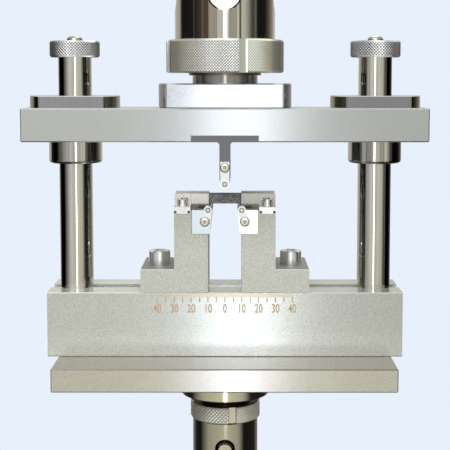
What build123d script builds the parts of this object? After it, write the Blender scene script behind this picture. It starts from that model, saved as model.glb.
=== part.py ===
from build123d import *

import os

# Short beam shear fixture. A coupon lies on two support rollers, and a crosshead brings
# a loading roller down on it along two guide posts.
# Millimetres. +Z is up, +X to the right, -Y to the front. The origin is the centre of the
# lower sleeve's end face, on which the fixture stands.

os.makedirs("parts", exist_ok=True)

# Clearances
running_clearance = 0.05  # radial, between a shaft and the hole it turns or slides in
screw_clearance = 0.05  # radial, round a screw or a pressed shank
slide_clearance = 0.1  # beside a flat sliding face
contact_gap = 0.1  # between a roller and what rests on it
head_clearance = 0.3  # radial, round a sunk screw head
screw_end_gap = 1.0  # below a screw's end in its hole
small_screw_end_gap = 0.5  # the same for the M3 screws

# Lower coupling, from the floor up
lower_sleeve_radius = 19.8
lower_sleeve_height = 45.0
sleeve_edge = 0.5  # chamfer on both sleeves' ends
lower_socket_radius = 7.0
lower_socket_depth = 18.0
lower_floor_thickness = 2.0  # solid metal between the socket and the stem's bore
lower_stem_radius = 12.5
lower_pin_radius = 5.0
lower_pin_height = 28.4
lower_hole_radius = 6.05  # the sleeve's cross hole, wider than the pin and a little higher
lower_hole_height = 29.4
lower_pin_length = 41.0
pin_edge = 0.9  # chamfer on both cross pins' ends
lower_ring_radius = 21.2
lower_ring_height = 10.0
ring_edge = 0.6
lower_ring_gap = 4.9  # bare thread between the ring and the disc
lower_thread_radius = 15.0
lower_slot_width = 4.5
lower_slot_depth = 1.6
lower_slot_angle = -77.3  # the slot beside the front, measured from +X
spigot_disc_radius = 27.0
spigot_disc_height = 13.4
disc_edge = 0.6
spigot_boss_radius = 15.0
spigot_boss_height = 8.0
spigot_screw_offset = 21.5

# Bottom plate and base block
plate_length = 198.4
plate_depth = 105.0
plate_thickness = 13.6
plate_edge = 0.6
block_length = 211.0
block_depth = 45.0
block_height = 38.6
block_edge = 0.5
slot_mouth_width = 10.0
slot_mouth_depth = 6.0
slot_chamber_width = 17.4
slot_chamber_depth = 8.0
block_screw_x = 60.0
block_screw_y = 12.0
block_screw_reach = 15.0

# Guide posts and the stop knobs on them
post_spacing = 181.0
post_radius = 10.0
post_socket_depth = 30.0
post_edge = 1.0
post_screw_reach = 20.0
stop_height = 139.1  # underside of the stop knobs above the base block
knob_radius = 15.0
knob_height = 9.8
knob_recess = 2.0
knob_edge = 0.9

# Support blocks: columns with a foot, and the bright seats let into them
half_span = 10.0  # from the middle to each support roller's axis
support_depth = 44.5
column_width = 20.0
column_height = 48.6
foot_length = 20.0
foot_height = 14.1
support_edge = 0.4
key_depth = 4.0
seat_width = 9.7  # let into the column
seat_overhang = 2.5  # the seat's top stands this far inward of the roller's axis
seat_toe = 1.0  # the same at the seat's foot
seat_rise = 0.8  # seat's top above the column's top
seat_pocket_depth = 13.9  # below the column's top
seat_corner = 0.6
support_roller_radius = 2.0
roller_bed = 0.25  # support roller's axis below the seat's top
journal_radius = 1.5
seat_screw_y = 8.0
seat_screw_depth = 7.0

# Clips over the rollers' ends
clip_thickness = 1.0
support_clip_width = 4.8
clip_screw_x = 1.8  # support clip's screw, outward of the roller's axis
clip_screw_drop = 6.85
nose_clip_width = 5.4
nose_clip_screw_rise = 9.9
nose_clip_top = 3.4  # flat top edge above the screw

# Side guides on the columns
guide_plate_thickness = 2.3
guide_plate_inner = 10.3  # outward of the roller's axis
guide_plate_outer = 20.2
guide_front = 22.0
guide_plate_back = 1.0
tongue_width = 6.5
tongue_depth = 1.7
guide_arm_base = 3.0  # above the column's top
guide_arm_top = 8.9
guide_arm_tip = 0.2  # arm's end, inward of the roller's axis
guide_arm_thickness = 3.8
guide_arm_step = 0.5  # the arm's face lies this far behind the wall's
guide_gap = 0.2  # between an arm and the coupon
guide_travel = 5.5
guide_screw_y = 14.5
notch_width = 6.5
notch_height = 4.3
notch_corner = 1.2

# Coupon
coupon_length = 33.0
coupon_width = 12.0
coupon_thickness = 5.4

# Crosshead beam and the nose under it
nose_gap = 4.55  # from the coupon to the loading roller
nose_roller_radius = 3.0
nose_roller_rise = 2.2  # web's lower edge above the loading roller's axis
web_height = 22.6
web_width = 6.4
web_fillet = 2.0
pick_band = 0.01  # height within which a sketch corner is picked
holder_width = 40.0
holder_thickness = 4.0
holder_screw_x = 13.0
holder_screw_y = 12.0
holder_screw_reach = 10.0
beam_end = 30.0  # beyond a post's axis
beam_depth = 40.0
beam_thickness = 20.0
beam_edge = 0.7

# Guide bushings
bushing_radius = 16.0
bushing_flange_radius = 27.0
bushing_flange_thickness = 7.2
bushing_flat = 19.0  # half the width between the flange's flats
bushing_reach = 13.3  # below the beam
bushing_round = 2.0
bushing_edge = 0.4
bushing_screw_x = 18.0
bushing_screw_y = 12.0
bushing_screw_reach = 12.0

# Upper coupling, from the beam up
adapter_flange_radius = 40.0
adapter_flange_thickness = 14.5
adapter_flat = 19.6  # half the width between the flange's flats, and the neck's radius
adapter_edge = 0.7
adapter_centring_radius = 10.0
adapter_centring_depth = 5.0
adapter_screw_x = 28.0
adapter_screw_y = 11.0
adapter_screw_reach = 9.0
neck_height = 4.7
upper_stem_radius = 18.0
upper_stem_end_gap = 0.5
upper_nut_radius = 35.3
upper_nut_height = 19.5
upper_nut_edge = 1.0
upper_collar_radius = 21.7
upper_collar_height = 1.5
upper_slot_width = 5.4
upper_slot_depth = 2.4
upper_slot_angle = -71.9
upper_sleeve_radius = 30.0
upper_sleeve_height = 62.0
upper_pin_radius = 10.0
upper_pin_rise = 26.0  # pin's axis above the sleeve's lower end
upper_pin_length = 61.0
upper_side_hole_radius = 9.0
upper_socket_radius = 8.75
upper_socket_depth = 16.5

# Fastener sizes: shank radius, head radius, head height, and socket across its flats
m3_radius = 1.5
m4_radius = 2.0
m5_radius = 2.5
m6_radius = 3.0
m8_radius = 4.0
m3_button_head = 2.85
m3_button_height = 1.65
m3_button_socket = 2.0
m3_cap_head = 2.75
m3_cap_height = 3.0
m3_cap_socket = 2.5
m3_washer_radius = 3.0
m3_washer_thickness = 0.8
m4_cap_head = 3.5
m4_cap_height = 4.0
m4_cap_socket = 3.0
m4_flat_head = 4.0
m4_flat_height = 2.2
m4_flat_socket = 2.5
m5_cap_head = 4.25
m5_cap_height = 5.0
m5_cap_socket = 4.0
m5_button_head = 4.75
m5_button_height = 2.75
m5_button_socket = 3.0
m6_cap_head = 5.0
m6_cap_height = 6.0
m6_cap_socket = 5.0
m8_cap_head = 6.5
m8_cap_height = 8.0
m8_cap_socket = 6.0
clip_screw_reach = 7.0
knob_screw_reach = 12.0
t_nut_stem_depth = 5.0
t_nut_base_depth = 6.5
t_nut_length = 18.0

# Heights that follow from the sizes above
ring_base = lower_sleeve_height
disc_base = ring_base + lower_ring_height + lower_ring_gap
plate_base = disc_base + spigot_disc_height
block_base = plate_base + plate_thickness
block_top = block_base + block_height
slot_floor = block_top - slot_mouth_depth - slot_chamber_depth
lower_stem_base = lower_socket_depth + lower_floor_thickness
post_base = block_top - post_socket_depth
knob_base = block_top + stop_height
post_top = knob_base + knob_recess
knob_top = knob_base + knob_height
post_x = post_spacing / 2
beam_length = post_spacing + 2 * beam_end

foot_top = block_top + foot_height
column_top = block_top + column_height
pocket_floor = column_top - seat_pocket_depth
seat_top = column_top + seat_rise
support_roller_z = seat_top - roller_bed
coupon_base = support_roller_z + support_roller_radius + contact_gap
coupon_top = coupon_base + coupon_thickness
column_inner = half_span
seat_outer = column_inner + seat_width
column_outer = column_inner + column_width
foot_outer = column_outer + foot_length
clamp_x = column_outer + foot_length / 2
support_face = support_depth / 2
seat_screw_z = (pocket_floor + column_top) / 2

nose_roller_z = coupon_top + nose_gap + nose_roller_radius
web_base = nose_roller_z + nose_roller_rise
beam_base = web_base + web_height
beam_top = beam_base + beam_thickness
nose_face = beam_depth / 2
adapter_top = beam_top + adapter_flange_thickness
neck_top = adapter_top + neck_height
nut_base = neck_top + slide_clearance
nut_top = nut_base + upper_collar_height + upper_nut_height
upper_sleeve_base = nut_top
upper_sleeve_top = upper_sleeve_base + upper_sleeve_height
upper_bore_top = upper_sleeve_top - upper_socket_depth
upper_pin_z = upper_sleeve_base + upper_pin_rise

guide_x = half_span + (guide_plate_inner + guide_plate_outer) / 2
guide_wall_front = coupon_width / 2 + guide_gap + guide_arm_thickness + guide_arm_step


# Fasteners

def cap_screw(shank, length, head, height, socket):
    """Socket-head screw along +Z, its head's seat at the origin."""
    with BuildPart() as screw:
        with BuildSketch():
            Circle(shank)
        extrude(amount=-length)
        with BuildSketch():
            Circle(head)
        extrude(amount=height)
        chamfer(faces().sort_by(Axis.Z)[-1].edges(), length=height * 0.08)
        with BuildSketch(Plane.XY.offset(height)):
            RegularPolygon(socket / 2, 6, major_radius=False)
        extrude(amount=-height / 2, mode=Mode.SUBTRACT)
    return screw.part


def button_screw(shank, length, head, height, socket):
    """Button-head screw along +Z with a domed head, its seat at the origin."""
    crown = socket * 0.75
    with BuildPart() as screw:
        with BuildSketch(Plane.XZ):
            with BuildLine():
                Line((0, -length), (shank, -length))
                Line((shank, -length), (shank, 0))
                Line((shank, 0), (head, 0))
                Line((head, 0), (head, height * 0.25))
                ThreePointArc((head, height * 0.25), ((head + crown) * 0.53, height * 0.82), (crown, height))
                Line((crown, height), (0, height))
                Line((0, height), (0, -length))
            make_face()
        revolve(axis=Axis.Z)
        with BuildSketch(Plane.XY.offset(height)):
            RegularPolygon(socket / 2, 6, major_radius=False)
        extrude(amount=-height * 0.6, mode=Mode.SUBTRACT)
    return screw.part


def flat_screw(shank, length, head, height, socket):
    """Countersunk screw along +Z, its flat head's face at the origin."""
    with BuildPart() as screw:
        with BuildSketch(Plane.XZ):
            with BuildLine():
                Polyline((0, 0), (head, 0), (shank, -height), (shank, -length), (0, -length), close=True)
            make_face()
        revolve(axis=Axis.Z)
        with BuildSketch():
            RegularPolygon(socket / 2, 6, major_radius=False)
        extrude(amount=-height * 0.6, mode=Mode.SUBTRACT)
    return screw.part


# Placings that turn a screw's head to the front, the back, downward or outward

def facing_front(x, y, z):
    return Location((x, y, z), (90, 0, 0))


def facing_back(x, y, z):
    return Location((x, y, z), (-90, 0, 0))


def facing_down(x, y, z):
    return Location((x, y, z), (180, 0, 0))


def facing_right(x, y, z):
    return Location((x, y, z), (0, 90, 0))


def finish(piece, label):
    """Labels one finished piece and writes it."""
    piece.part.label = label
    export_step(piece.part, f"parts/{label}.step")


def four_corners(x, y):
    """The four points (+-x, +-y)."""
    return [(x, y), (-x, y), (-x, -y), (x, -y)]


# Lower sleeve, lock ring, spigot and cross pin

with BuildPart() as lower_sleeve:
    with BuildSketch():
        Circle(lower_sleeve_radius)
    extrude(amount=lower_sleeve_height)
    chamfer(edges().filter_by(GeomType.CIRCLE), length=sleeve_edge)
    with BuildSketch(Plane.XY.offset(lower_stem_base)):
        Circle(lower_stem_radius + screw_clearance)
    extrude(amount=lower_sleeve_height, mode=Mode.SUBTRACT)
    with BuildSketch():
        Circle(lower_socket_radius)
    extrude(amount=lower_socket_depth, mode=Mode.SUBTRACT)
    with BuildSketch(Plane.XZ):
        with Locations((0, lower_hole_height)):
            Circle(lower_hole_radius)
    extrude(amount=2 * lower_sleeve_radius, both=True, mode=Mode.SUBTRACT)
finish(lower_sleeve, "lower_sleeve")

with BuildPart() as lower_lock_ring:
    with BuildSketch(Plane.XY.offset(ring_base)):
        Circle(lower_ring_radius)
    extrude(amount=lower_ring_height)
    chamfer(edges().filter_by(GeomType.CIRCLE), length=ring_edge)
    with BuildSketch(Plane.XY.offset(ring_base)):
        Circle(lower_thread_radius + running_clearance)
        with PolarLocations(lower_ring_radius, 4, start_angle=lower_slot_angle):
            Rectangle(2 * lower_slot_depth, lower_slot_width)
    extrude(amount=lower_ring_height, mode=Mode.SUBTRACT)
finish(lower_lock_ring, "lower_lock_ring")

with BuildPart() as lower_spigot:
    with BuildSketch(Plane.XZ):
        with BuildLine():
            Polyline(
                (0, lower_stem_base),
                (lower_stem_radius, lower_stem_base),
                (lower_stem_radius, ring_base),
                (lower_thread_radius, ring_base),
                (lower_thread_radius, disc_base),
                (spigot_disc_radius, disc_base),
                (spigot_disc_radius, plate_base),
                (spigot_boss_radius, plate_base),
                (spigot_boss_radius, plate_base + spigot_boss_height),
                (0, plate_base + spigot_boss_height),
                close=True,
            )
        make_face()
    revolve(axis=Axis.Z)
    chamfer(edges().filter_by(GeomType.CIRCLE).group_by(SortBy.RADIUS)[-1].sort_by(Axis.Z)[0], length=disc_edge)
    with BuildSketch(Plane.XZ):
        with Locations((0, lower_pin_height)):
            Circle(lower_pin_radius + running_clearance)
    extrude(amount=2 * lower_stem_radius, both=True, mode=Mode.SUBTRACT)
    with BuildSketch(Plane.XY.offset(disc_base)):
        with PolarLocations(spigot_screw_offset, 4, start_angle=45):
            Circle(m5_cap_head + head_clearance)
    extrude(amount=m5_cap_height, mode=Mode.SUBTRACT)
    with BuildSketch(Plane.XY.offset(disc_base)):
        with PolarLocations(spigot_screw_offset, 4, start_angle=45):
            Circle(m5_radius + screw_clearance)
    extrude(amount=spigot_disc_height, mode=Mode.SUBTRACT)
finish(lower_spigot, "lower_spigot")

spigot_screw_length = spigot_disc_height - m5_cap_height + spigot_boss_height
spigot_screw = cap_screw(m5_radius, spigot_screw_length, m5_cap_head, m5_cap_height, m5_cap_socket)
with BuildPart() as spigot_screws:
    for corner in PolarLocations(spigot_screw_offset, 4, start_angle=45):
        with Locations(facing_down(corner.position.X, corner.position.Y, disc_base + m5_cap_height)):
            add(spigot_screw)
finish(spigot_screws, "spigot_screws")

with BuildPart() as lower_cross_pin:
    with BuildSketch(Plane.XZ):
        with Locations((0, lower_pin_height)):
            Circle(lower_pin_radius)
    extrude(amount=lower_pin_length / 2, both=True)
    chamfer(edges().filter_by(GeomType.CIRCLE), length=pin_edge)
finish(lower_cross_pin, "lower_cross_pin")

# Bottom plate and base block

with BuildPart() as bottom_plate:
    with BuildSketch(Plane.XY.offset(plate_base)):
        Rectangle(plate_length, plate_depth)
    extrude(amount=plate_thickness)
    chamfer(edges(), length=plate_edge)
    with BuildSketch(Plane.XY.offset(plate_base)):
        Circle(spigot_boss_radius + screw_clearance)
    extrude(amount=spigot_boss_height + slide_clearance, mode=Mode.SUBTRACT)
    with BuildSketch(Plane.XY.offset(plate_base)):
        with PolarLocations(spigot_screw_offset, 4, start_angle=45):
            Circle(m5_radius + screw_clearance)
    extrude(amount=spigot_boss_height + slide_clearance, mode=Mode.SUBTRACT)
    with Locations(
        facing_down(post_x, 0, plate_base),
        facing_down(-post_x, 0, plate_base),
        *[facing_down(x, y, plate_base) for x, y in four_corners(block_screw_x, block_screw_y)],
    ):
        CounterBoreHole(m8_radius + screw_clearance, m8_cap_head + head_clearance, m8_cap_height, plate_thickness)
finish(bottom_plate, "bottom_plate")

with BuildPart() as base_block:
    with BuildSketch(Plane.YZ):
        with Locations((0, block_base + block_height / 2)):
            Rectangle(block_depth, block_height)
        with Locations((0, block_top)):
            Rectangle(slot_mouth_width, 2 * slot_mouth_depth, mode=Mode.SUBTRACT)
        with Locations((0, slot_floor + slot_chamber_depth / 2)):
            Rectangle(slot_chamber_width, slot_chamber_depth, mode=Mode.SUBTRACT)
    extrude(amount=block_length / 2, both=True)
    outline = edges().filter_by(Axis.X).group_by(Axis.Y)
    chamfer(outline[0] + outline[-1], length=block_edge)
    with BuildSketch(Plane.XY.offset(block_top)):
        with Locations((post_x, 0), (-post_x, 0)):
            Circle(post_radius + screw_clearance)
    extrude(amount=-post_socket_depth, mode=Mode.SUBTRACT)
    with BuildSketch(Plane.XY.offset(block_base)):
        with Locations((post_x, 0), (-post_x, 0)):
            Circle(m8_radius + screw_clearance)
    extrude(amount=block_height - post_socket_depth, mode=Mode.SUBTRACT)
    with BuildSketch(Plane.XY.offset(block_base)):
        with Locations(*four_corners(block_screw_x, block_screw_y)):
            Circle(m8_radius + screw_clearance)
    extrude(amount=block_screw_reach, mode=Mode.SUBTRACT)
finish(base_block, "base_block")

plate_screw_seat = plate_base + m8_cap_height
block_screw_length = plate_thickness - m8_cap_height + block_screw_reach - screw_end_gap
block_screw = cap_screw(m8_radius, block_screw_length, m8_cap_head, m8_cap_height, m8_cap_socket)
with BuildPart() as block_screws:
    for x, y in four_corners(block_screw_x, block_screw_y):
        with Locations(facing_down(x, y, plate_screw_seat)):
            add(block_screw)
finish(block_screws, "block_screws")

post_screw_length = post_base + post_screw_reach - screw_end_gap - plate_screw_seat
post_screw = cap_screw(m8_radius, post_screw_length, m8_cap_head, m8_cap_height, m8_cap_socket)
with BuildPart() as post_screws:
    with Locations(facing_down(post_x, 0, plate_screw_seat), facing_down(-post_x, 0, plate_screw_seat)):
        add(post_screw)
finish(post_screws, "post_screws")

# Guide posts and stop knobs

knob_screw = button_screw(m5_radius, knob_screw_reach, m5_button_head, m5_button_height, m5_button_socket)
for side, x in (("left", -post_x), ("right", post_x)):
    with BuildPart() as post:
        with BuildSketch(Plane.XY.offset(post_base)):
            with Locations((x, 0)):
                Circle(post_radius)
        extrude(amount=post_top - post_base)
        chamfer(edges().filter_by(GeomType.CIRCLE), length=post_edge)
        with BuildSketch(Plane.XY.offset(post_base)):
            with Locations((x, 0)):
                Circle(m8_radius + screw_clearance)
        extrude(amount=post_screw_reach, mode=Mode.SUBTRACT)
        with BuildSketch(Plane.XY.offset(post_top)):
            with Locations((x, 0)):
                Circle(m5_radius + screw_clearance)
        extrude(amount=-knob_screw_reach, mode=Mode.SUBTRACT)
    finish(post, f"{side}_post")

    with BuildPart() as stop_knob:
        with BuildSketch(Plane.XY.offset(knob_base)):
            with Locations((x, 0)):
                Circle(knob_radius)
        extrude(amount=knob_height)
        chamfer(edges().filter_by(GeomType.CIRCLE), length=knob_edge)
        with BuildSketch(Plane.XY.offset(knob_base)):
            with Locations((x, 0)):
                Circle(post_radius + screw_clearance)
        extrude(amount=knob_recess, mode=Mode.SUBTRACT)
        with BuildSketch(Plane.XY.offset(knob_base)):
            with Locations((x, 0)):
                Circle(m5_radius + screw_clearance)
        extrude(amount=knob_height, mode=Mode.SUBTRACT)
    finish(stop_knob, f"{side}_stop_knob")

    with BuildPart() as stop_screw:
        with Locations((x, 0, knob_top)):
            add(knob_screw)
    finish(stop_screw, f"{side}_knob_screw")

# Supports. Everything is drawn for the right side and mirrored for the left.

with BuildPart() as support_block:
    with BuildSketch(Plane.XZ):
        with BuildLine():
            Polyline(
                (column_inner, block_top),
                (foot_outer, block_top),
                (foot_outer, foot_top),
                (column_outer, foot_top),
                (column_outer, column_top),
                (seat_outer, column_top),
                (seat_outer, pocket_floor),
                (column_inner, pocket_floor),
                close=True,
            )
        make_face()
        fillet(vertices().filter_by_position(Axis.X, seat_outer, seat_outer).sort_by(Axis.Y)[0], seat_corner)
    extrude(amount=support_face, both=True)
    foot_ends = edges().filter_by(Axis.Y).group_by(Axis.X)[-1]
    chamfer(foot_ends, length=support_edge)
    with BuildSketch(Plane.XY.offset(block_top)):
        with Locations((column_inner + column_width / 2, 0)):
            Rectangle(column_width, slot_mouth_width - 2 * slide_clearance)
    extrude(amount=-key_depth)
    with BuildSketch(Plane.XY.offset(column_top)):
        with Locations((guide_x, 0)):
            Rectangle(tongue_width + 2 * slide_clearance, support_depth)
    extrude(amount=-tongue_depth - slide_clearance, mode=Mode.SUBTRACT)
    with BuildSketch(Plane.XY.offset(column_top)):
        with Locations((guide_x, guide_screw_y), (guide_x, -guide_screw_y)):
            Circle(m3_radius + screw_clearance)
    extrude(amount=-clip_screw_reach - tongue_depth, mode=Mode.SUBTRACT)
    with BuildSketch(Plane.XY.offset(foot_top)):
        with Locations((clamp_x, 0)):
            Circle(m8_radius + head_clearance)
    extrude(amount=-foot_height, mode=Mode.SUBTRACT)
    with Locations(
        facing_right(column_outer, seat_screw_y, seat_screw_z),
        facing_right(column_outer, -seat_screw_y, seat_screw_z),
    ):
        CounterBoreHole(m4_radius + screw_clearance, m4_cap_head + head_clearance, m4_cap_height, column_width)

with BuildPart() as roller_seat:
    with BuildSketch(Plane.XZ):
        with BuildLine():
            Polyline(
                (half_span - seat_toe, pocket_floor),
                (seat_outer, pocket_floor),
                (seat_outer, seat_top),
                (half_span - seat_overhang, seat_top),
                close=True,
            )
        make_face()
        fillet(vertices().sort_by(Axis.X).group_by(Axis.X)[-1].sort_by(Axis.Y)[0], seat_corner)
        with Locations((half_span, support_roller_z)):
            Circle(support_roller_radius + running_clearance, mode=Mode.SUBTRACT)
            with Locations((0, support_roller_radius)):
                Rectangle(
                    2 * (support_roller_radius + running_clearance), 2 * support_roller_radius, mode=Mode.SUBTRACT
                )
    extrude(amount=support_face, both=True)
    with Locations(
        facing_right(seat_outer, seat_screw_y, seat_screw_z),
        facing_right(seat_outer, -seat_screw_y, seat_screw_z),
    ):
        Hole(m4_radius + screw_clearance, seat_screw_depth)
    with Locations(
        facing_front(half_span + clip_screw_x, -support_face, support_roller_z - clip_screw_drop),
        facing_back(half_span + clip_screw_x, support_face, support_roller_z - clip_screw_drop),
    ):
        Hole(m3_radius + screw_clearance, clip_screw_reach)

seat_screw_length = column_outer - m4_cap_height - seat_outer + seat_screw_depth - screw_end_gap
seat_screw = cap_screw(m4_radius, seat_screw_length, m4_cap_head, m4_cap_height, m4_cap_socket)
with BuildPart() as seat_screws:
    with Locations(
        facing_right(column_outer - m4_cap_height, seat_screw_y, seat_screw_z),
        facing_right(column_outer - m4_cap_height, -seat_screw_y, seat_screw_z),
    ):
        add(seat_screw)

with BuildPart() as support_roller:
    with BuildSketch(Plane.XZ):
        with Locations((half_span, support_roller_z)):
            Circle(support_roller_radius)
    extrude(amount=support_face - slide_clearance, both=True)
    with BuildSketch(Plane.XZ):
        with Locations((half_span, support_roller_z)):
            Circle(journal_radius)
    extrude(amount=support_face + clip_thickness, both=True)

with BuildPart() as front_clip:
    with BuildSketch(Plane.XZ.offset(support_face)):
        with Locations((half_span, support_roller_z), (half_span + clip_screw_x, support_roller_z - clip_screw_drop)):
            Circle(support_clip_width / 2)
        make_hull()
        with Locations((half_span, support_roller_z)):
            Circle(journal_radius + running_clearance, mode=Mode.SUBTRACT)
        with Locations((half_span + clip_screw_x, support_roller_z - clip_screw_drop)):
            Circle(m3_radius + screw_clearance, mode=Mode.SUBTRACT)
    extrude(amount=clip_thickness)

clip_screw = button_screw(
    m3_radius, clip_screw_reach - small_screw_end_gap, m3_button_head, m3_button_height, m3_button_socket
)
clip_face = support_face + clip_thickness
with BuildPart() as clip_screws:
    with Locations(
        facing_front(half_span + clip_screw_x, -clip_face, support_roller_z - clip_screw_drop),
        facing_back(half_span + clip_screw_x, clip_face, support_roller_z - clip_screw_drop),
    ):
        add(clip_screw)

clamp_length = foot_top - slot_floor - screw_end_gap
clamp_screw = cap_screw(m8_radius, clamp_length, m8_cap_head, m8_cap_height, m8_cap_socket)
with BuildPart() as clamp_bolt:
    with Locations((clamp_x, 0, foot_top)):
        add(clamp_screw)

with BuildPart() as t_nut:
    with BuildSketch(Plane.XY.offset(block_top - slot_mouth_depth - slide_clearance)):
        with Locations((clamp_x, 0)):
            Rectangle(t_nut_length, slot_chamber_width - 4 * slide_clearance)
    extrude(amount=-t_nut_base_depth)
    with BuildSketch(Plane.XY.offset(block_top - slot_mouth_depth - slide_clearance)):
        with Locations((clamp_x, 0)):
            Rectangle(t_nut_length, slot_mouth_width - 2 * slide_clearance)
    extrude(amount=t_nut_stem_depth)
    with BuildSketch(Plane.XY.offset(block_top)):
        with Locations((clamp_x, 0)):
            Circle(m8_radius + screw_clearance)
    extrude(amount=-slot_mouth_depth - slot_chamber_depth, mode=Mode.SUBTRACT)

# The front side guide: a plate with a tongue, a wall behind its screw, and an arm over the seat

guide_left = half_span + guide_plate_inner
guide_right = half_span + guide_plate_outer
arm_back = -(coupon_width / 2 + guide_gap)
arm_front = arm_back - guide_arm_thickness
plate_top = column_top + guide_plate_thickness
guide_top = column_top + guide_arm_top
with BuildPart() as guide:
    with BuildSketch(Plane.XY.offset(column_top)):
        with Locations(((guide_left + guide_right) / 2, -(guide_front + guide_plate_back) / 2)):
            Rectangle(guide_right - guide_left, guide_front - guide_plate_back)
    extrude(amount=guide_plate_thickness)
    with BuildSketch(Plane.XY.offset(column_top)):
        with Locations((guide_x, -(guide_front + guide_plate_back) / 2)):
            Rectangle(tongue_width, guide_front - guide_plate_back)
    extrude(amount=-tongue_depth)
    with BuildSketch(Plane.XY.offset(plate_top)):
        with Locations(((guide_left + guide_right) / 2, (arm_back - guide_wall_front) / 2)):
            Rectangle(guide_right - guide_left, guide_wall_front + arm_back)
    extrude(amount=guide_top - plate_top)
    with BuildSketch(Plane.XY.offset(column_top + guide_arm_base)):
        with Locations(((half_span - guide_arm_tip + guide_left) / 2, (arm_back + arm_front) / 2)):
            Rectangle(guide_left - half_span + guide_arm_tip, guide_arm_thickness)
    extrude(amount=guide_arm_top - guide_arm_base)
    with BuildSketch(Plane.XZ):
        with Locations((guide_x, plate_top + notch_height / 2)):
            Rectangle(notch_width, notch_height)
        fillet(vertices().group_by(Axis.Y)[-1], notch_corner)
    extrude(amount=guide_front, mode=Mode.SUBTRACT)
    with BuildSketch(Plane.XY.offset(plate_top)):
        with Locations((guide_x, -guide_screw_y + guide_travel / 2)):
            SlotCenterToCenter(guide_travel, 2 * (m3_radius + 2 * slide_clearance), rotation=90)
    extrude(amount=-guide_plate_thickness - tongue_depth, mode=Mode.SUBTRACT)

guide_screw_length = m3_washer_thickness + guide_plate_thickness + clip_screw_reach - small_screw_end_gap
guide_screw = cap_screw(m3_radius, guide_screw_length, m3_cap_head, m3_cap_height, m3_cap_socket)
with BuildPart() as guide_screws:
    with Locations(
        (guide_x, -guide_screw_y, plate_top + m3_washer_thickness),
        (guide_x, guide_screw_y, plate_top + m3_washer_thickness),
    ):
        add(guide_screw)
    with BuildSketch(Plane.XY.offset(plate_top)):
        with Locations((guide_x, -guide_screw_y), (guide_x, guide_screw_y)):
            Circle(m3_washer_radius)
    extrude(amount=m3_washer_thickness)

for side in ("left", "right"):
    for piece, name in (
        (support_block, "support_block"),
        (roller_seat, "roller_seat"),
        (seat_screws, "seat_screws"),
        (support_roller, "roller"),
        (front_clip, "front_clip"),
        (clip_screws, "clip_screws"),
        (clamp_bolt, "clamp_bolt"),
        (t_nut, "t_nut"),
        (guide, "front_guide"),
        (guide_screws, "guide_screws"),
    ):
        with BuildPart() as sided:
            if side == "left":
                mirror(piece.part, about=Plane.YZ)
            else:
                add(piece.part)
        finish(sided, f"{side}_{name}")
    for piece, name in ((front_clip, "rear_clip"), (guide, "rear_guide")):
        with BuildPart() as turned:
            mirror(piece.part, about=Plane.XZ)
        with BuildPart() as sided:
            if side == "left":
                mirror(turned.part, about=Plane.YZ)
            else:
                add(turned.part)
        finish(sided, f"{side}_{name}")

# Coupon

with BuildPart() as test_coupon:
    with BuildSketch(Plane.XY.offset(coupon_base)):
        Rectangle(coupon_length, coupon_width)
    extrude(amount=coupon_thickness)
finish(test_coupon, "test_coupon")

# Crosshead beam with its bushings

with BuildPart() as beam:
    with BuildSketch(Plane.XY.offset(beam_base)):
        Rectangle(beam_length, beam_depth)
    extrude(amount=beam_thickness)
    chamfer(edges(), length=beam_edge)
    with BuildSketch(Plane.XY.offset(beam_base)):
        Rectangle(holder_width, beam_depth)
    extrude(amount=holder_thickness, mode=Mode.SUBTRACT)
    with BuildSketch(Plane.XY.offset(beam_base)):
        with Locations((post_x, 0), (-post_x, 0)):
            Circle(bushing_radius)
    extrude(amount=beam_thickness, mode=Mode.SUBTRACT)
    with BuildSketch(Plane.XY.offset(beam_top)):
        Circle(adapter_centring_radius + screw_clearance)
        for x in (post_x, -post_x):
            with Locations(*[(x + dx, dy) for dx, dy in four_corners(bushing_screw_x, bushing_screw_y)]):
                Circle(m5_radius + screw_clearance)
    extrude(amount=-adapter_centring_depth - slide_clearance, mode=Mode.SUBTRACT)
    with BuildSketch(Plane.XY.offset(beam_top)):
        for x in (post_x, -post_x):
            with Locations(*[(x + dx, dy) for dx, dy in four_corners(bushing_screw_x, bushing_screw_y)]):
                Circle(m5_radius + screw_clearance)
    extrude(amount=-bushing_screw_reach, mode=Mode.SUBTRACT)
    with Locations(*[facing_down(x, y, beam_base) for x, y in four_corners(adapter_screw_x, adapter_screw_y)]):
        CounterBoreHole(m6_radius + screw_clearance, m6_cap_head + head_clearance, m6_cap_height, beam_thickness)
    with BuildSketch(Plane.XY.offset(beam_base + holder_thickness)):
        with Locations(*four_corners(holder_screw_x, holder_screw_y)):
            Circle(m4_radius + screw_clearance)
    extrude(amount=holder_screw_reach - holder_thickness + slide_clearance, mode=Mode.SUBTRACT)
finish(beam, "beam")

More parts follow.
